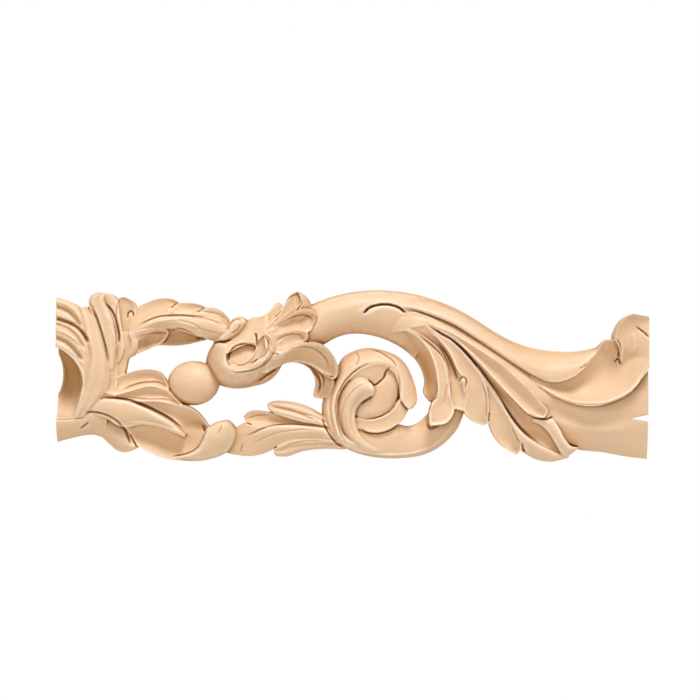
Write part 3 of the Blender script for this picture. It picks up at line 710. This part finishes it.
line([(-47.3, 14.2), (-43.2, 13.5), (-40.2, 12.7), (-38, 12.1)], 0.35, 0.4)
line([(-31.4, -13.1), (-27.8, -11.9), (-24.3, -11.6)], 0.35, 0.5)
line([(-23.4, -9.2), (-18.4, -10.2), (-13.7, -12.2), (-9.5, -14.3)], 0.38, 0.7)
line([(-21.6, -22.4), (-18.4, -20.5), (-13.7, -19.6), (-8.3, -19.6)], 0.35, 0.5)
line([(-30.2, -21.6), (-26.7, -18.9), (-21.9, -17.1), (-16.6, -16.3), (-10.1, -16.3)], 0.35, 0.4)

bpy.ops.object.select_all(action="DESELECT")
for sheet in leaves:
    sheet.select_set(True)
bpy.context.view_layer.objects.active = leaves[0]
bpy.ops.object.join()
carving = bpy.context.object
carving.name = "maple_carving"
carving.data.name = "maple_carving"


def read_map(cells, co):
    """Read a map of the face at each point."""
    rows = np.clip(((co[:, 2] + HEIGHT / 2 + MARGIN) / CELL).astype(int), 0, cells.shape[0] - 1)
    columns = np.clip(((co[:, 0] + LENGTH / 2 + MARGIN) / CELL).astype(int), 0, cells.shape[1] - 1)
    return cells[rows, columns]


finish_with("REMESH", mode="VOXEL", voxel_size=VOXEL)
face = read_points(carving.data)
height = -face[:, 1]
face[:, 1] = -np.maximum(height - read_map(cuts, face), np.minimum(height, FLOOR))
write_points(carving.data, face)
finish_with("SMOOTH", factor=0.5, iterations=2)

# Saw cuts.  The block is sawn flat at its back and square at both ends, where the run of moulding goes on.
# Then the face is thinned to the fine mesh that it needs.
TRIANGLES = 188000


def saw(place, outward):
    """Saw the block flat at a plane and close the cut."""
    bpy.ops.object.mode_set(mode="EDIT")
    bpy.ops.mesh.select_all(action="SELECT")
    bpy.ops.mesh.bisect(plane_co=place, plane_no=outward, clear_outer=True)
    bpy.ops.mesh.fill(use_beauty=False)
    bpy.ops.object.mode_set(mode="OBJECT")


saw((0, 0, 0), (0, 1, 0))
saw((-LENGTH / 2, 0, 0), (-1, 0, 0))
saw((LENGTH / 2, 0, 0), (1, 0, 0))
bpy.ops.object.mode_set(mode="EDIT")
bpy.ops.mesh.select_all(action="SELECT")
bpy.ops.mesh.quads_convert_to_tris()
bpy.ops.mesh.normals_make_consistent(inside=False)
bpy.ops.object.mode_set(mode="OBJECT")
finish_with("DECIMATE", ratio=TRIANGLES / len(carving.data.polygons), use_collapse_triangulate=True)

# To size.  The sawn faces are trued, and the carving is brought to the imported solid's own box.  Its face
# is felt out from the front by rays, and keeps three notes for the finish to read: how deep each point
# lies, in millimetres, below the middle height of the wood around it, near it and close to it.  The outer
# walls and the sawn faces are left out of them.
PER_METRE = 1000
AROUND = 7
NEAR = 3
CLOSE = 0.45
RIM_WIDTH = 1.4
SPACING = 3
EMPTY = 1e-6
OPEN_SHARE = 0.5
FILLING = 2.5
SAWN_WITHIN = 0.05
CREASE = 50
co = read_points(carving.data)
co[co[:, 1] > -SAWN_WITHIN, 1] = 0
for end in (-LENGTH / 2, LENGTH / 2):
    co[abs(co[:, 0] - end) < SAWN_WITHIN, 0] = end
low, high = co.min(axis=0), co.max(axis=0)
box_low, box_high = (PER_METRE * np.array(corner) for corner in cad_box)
co = box_low + (co - low) * (box_high - box_low) / (high - low)
write_points(carving.data, co)

probe = BVHTree.FromObject(carving, bpy.context.evaluated_depsgraph_get())
across, up = (np.arange(SPACING / 2, count, SPACING) * CELL - MARGIN for count in cuts.shape[::-1])
starts = [(x - LENGTH / 2, -2 * DEPTH, z - HEIGHT / 2) for z in up for x in across]
hits = [probe.ray_cast(start, (0, 1, 0))[0] for start in starts]
fronts = np.array([0 if hit is None else -hit.y for hit in hits]).reshape(len(up), len(across))
fronts = np.kron(fronts, np.ones((SPACING, SPACING)))[:cuts.shape[0], :cuts.shape[1]]
edge = int(MARGIN / CELL) + 1
fronts[:, :edge] = fronts[:, [edge]]
fronts[:, -edge:] = fronts[:, [-edge - 1]]
filled = (fronts > 0).astype(float)


def blur(cells, radius):
    """Spread each value of a map over its surroundings."""
    reach = int(3 * radius / CELL)
    bell = np.exp(-(np.arange(-reach, reach + 1) * CELL / radius) ** 2 / 2)
    for axis in (0, 1):
        cells = np.apply_along_axis(np.pad, axis, cells, reach, mode="edge")
        cells = np.apply_along_axis(np.convolve, axis, cells, bell / bell.sum(), mode="valid")
    return cells


inside = np.clip((read_map(blur(filled, RIM_WIDTH), co) / OPEN_SHARE - 1) * FILLING, 0, 1)
inside[(co[:, 1] > -SAWN_WITHIN) | (abs(co[:, 0]) > LENGTH / 2 - SAWN_WITHIN)] = 0
for name, radius in (("sunk_around", AROUND), ("sunk_near", NEAR), ("sunk_close", CLOSE)):
    around = blur(fronts, radius) / np.maximum(blur(filled, radius), EMPTY)
    note = carving.data.attributes.new(name, "FLOAT", "POINT")
    note.data.foreach_set("value", inside * (read_map(around, co) + co[:, 1]))
write_points(carving.data, co / PER_METRE)
bpy.ops.object.select_all(action="DESELECT")
carving.select_set(True)
bpy.ops.object.shade_smooth_by_angle(angle=np.radians(CREASE))
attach(carving, "root")
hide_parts("carved_moulding")


# Maple.  The wood is bare and finely sanded: pale, with a soft sheen, thin fibres along its length and faint
# broader growth bands.  It is browner in the gouged lines, where sanding doesn't reach.
class Shade:
    """A socket in a material's nodes.  Arithmetic on it adds Math nodes."""

    def __init__(self, tree, socket=None):
        self.tree = tree
        self.socket = socket

    def node(self, kind, settings, sockets, output=0):
        """Add a node: its type, its settings, the values or links of its sockets, and the output to read."""
        node = self.tree.nodes.new(kind)
        for name, value in settings.items():
            setattr(node, name, value)
        for name, value in sockets.items():
            if isinstance(value, Shade):
                self.tree.links.new(value.socket, node.inputs[name])
            else:
                node.inputs[name].default_value = value
        return Shade(self.tree, node.outputs[output])

    def math(self, operation, first, second):
        return self.node("ShaderNodeMath", {"operation": operation}, {0: first, 1: second})

    def __add__(self, other):
        return self.math("ADD", self, other)

    def __sub__(self, other):
        return self.math("SUBTRACT", self, other)

    def __rsub__(self, other):
        return self.math("SUBTRACT", other, self)

    def __mul__(self, other):
        return self.math("MULTIPLY", self, other)

    __radd__ = __add__
    __rmul__ = __mul__

    def between(self, low, high):
        """Turn values from low to high into a mask from 0 to 1."""
        sockets = {"Value": self, "From Min": low, "From Max": high}
        return self.node("ShaderNodeMapRange", {"clamp": True}, sockets)

    def tint(self, first, second):
        """Mix two colours by this mask."""
        return self.node("ShaderNodeMix", {"data_type": "RGBA"}, {0: self, 6: first, 7: second}, output=2)


maple = bpy.data.materials.new("bare_maple")
maple.use_nodes = True
wood = maple.node_tree
finish = wood.nodes["Principled BSDF"]
place = Shade(wood).node("ShaderNodeTexCoord", {}, {}, output=3)
along_grain = place.node("ShaderNodeMapping", {}, {"Vector": place, "Scale": (0.05, 1, 1),
                                                   "Rotation": (0, np.radians(2), 0)})
fine_noise = place.node("ShaderNodeTexNoise", {}, {"Vector": along_grain, "Scale": 2600, "Detail": 3})
broad_noise = place.node("ShaderNodeTexNoise", {}, {"Vector": along_grain, "Scale": 260, "Detail": 2})
fibre = fine_noise.between(0.35, 0.65)
band = broad_noise.between(0.3, 0.7)
near = place.node("ShaderNodeAttribute", {"attribute_name": "sunk_near"}, {}, output=2)
close = place.node("ShaderNodeAttribute", {"attribute_name": "sunk_close"}, {}, output=2)
deep = place.node("ShaderNodeAttribute", {"attribute_name": "sunk_around"}, {}, output=2)
deep_mask = deep.between(2.6, 6)
hollow_mask = near.between(0.1, 3)
line_mask = close.between(0.05, 0.5)
rim_mask = (-1 * close).between(0.03, 0.35)
PALE = (0.8, 0.6, 0.43, 1)
HONEY = (0.72, 0.5, 0.31, 1)
DEEP_BROWN = (0.28, 0.15, 0.045, 1)
HOLLOW_BROWN = (0.6, 0.31, 0.085, 1)
LINE_BROWN = (0.36, 0.155, 0.02, 1)
RIM = (0.93, 0.82, 0.7, 1)
base = (0.55 * band + 0.3 * fibre).tint(PALE, HONEY)
base = (0.62 * deep_mask).tint(base, DEEP_BROWN)
base = (0.55 * hollow_mask).tint(base, HOLLOW_BROWN)
base = (0.7 * rim_mask).tint(base, RIM)
base = (0.52 * line_mask).tint(base, LINE_BROWN)
grain = place.node("ShaderNodeBump", {}, {"Height": fibre, "Strength": 0.12, "Distance": 0.00004})
wood.links.new(base.socket, finish.inputs["Base Color"])
wood.links.new((0.42 + 0.07 * fibre + 0.25 * line_mask).socket, finish.inputs["Roughness"])
wood.links.new(grain.socket, finish.inputs["Normal"])
finish.inputs["Specular IOR Level"].default_value = 0.45
carving.data.materials.clear()
carving.data.materials.append(maple)

# Setting.  A plain pale floor lies well below the moulding.  A broad soft lamp stands above and in front,
# a weaker one fills from the left, and the camera faces the carving square on through a long lens.
SIDE = 700
PIXEL = 0.00029535
LENS = 150
SENSOR = 36
CENTRE = (-0.00066, 0.00768)
FACE = -0.008
bpy.ops.mesh.primitive_plane_add(size=0.9, location=(0, -0.1, -0.16))
floor = bpy.context.object
floor.name = "floor"
paint = bpy.data.materials.new("pale_floor")
paint.use_nodes = True
paint.node_tree.nodes["Principled BSDF"].inputs["Base Color"].default_value = (0.85, 0.85, 0.84, 1)
paint.node_tree.nodes["Principled BSDF"].inputs["Roughness"].default_value = 0.9
floor.data.materials.append(paint)


def lamp(name, size, energy, location, colour=(1, 1, 1)):
    """Add a square soft lamp that looks at the moulding."""
    bpy.ops.object.light_add(type="AREA", location=location)
    light = bpy.context.object
    light.name = name
    light.data.size = size
    light.data.energy = energy
    light.data.color = colour
    aim = light.location.normalized()
    light.rotation_euler = aim.to_track_quat("Z", "Y").to_euler()


lamp("key", 0.36, 9.3, (0.16, -0.58, 0.98), (1, 0.99, 0.99))
lamp("fill", 0.9, 2.0, (-0.5, -1, 0.25), (1, 0.9, 0.78))

world = bpy.data.worlds.new("studio")
bpy.context.scene.world = world
world.use_nodes = True
air = world.node_tree
seen = Shade(air).node("ShaderNodeLightPath", {}, {})
sky = seen.tint((0.53, 0.465, 0.38, 1), (1, 1, 1, 1))
air.links.new(sky.socket, air.nodes["Background"].inputs["Color"])

width = SIDE * PIXEL
bpy.ops.object.camera_add(location=(CENTRE[0], FACE - width * LENS / SENSOR, CENTRE[1]),
                          rotation=(np.radians(90), 0, 0))
camera = bpy.context.object
camera.data.lens = LENS
camera.data.sensor_width = SENSOR
camera.data.clip_start = 0.01
bpy.context.scene.camera = camera
bpy.context.scene.view_settings.view_transform = "Standard"
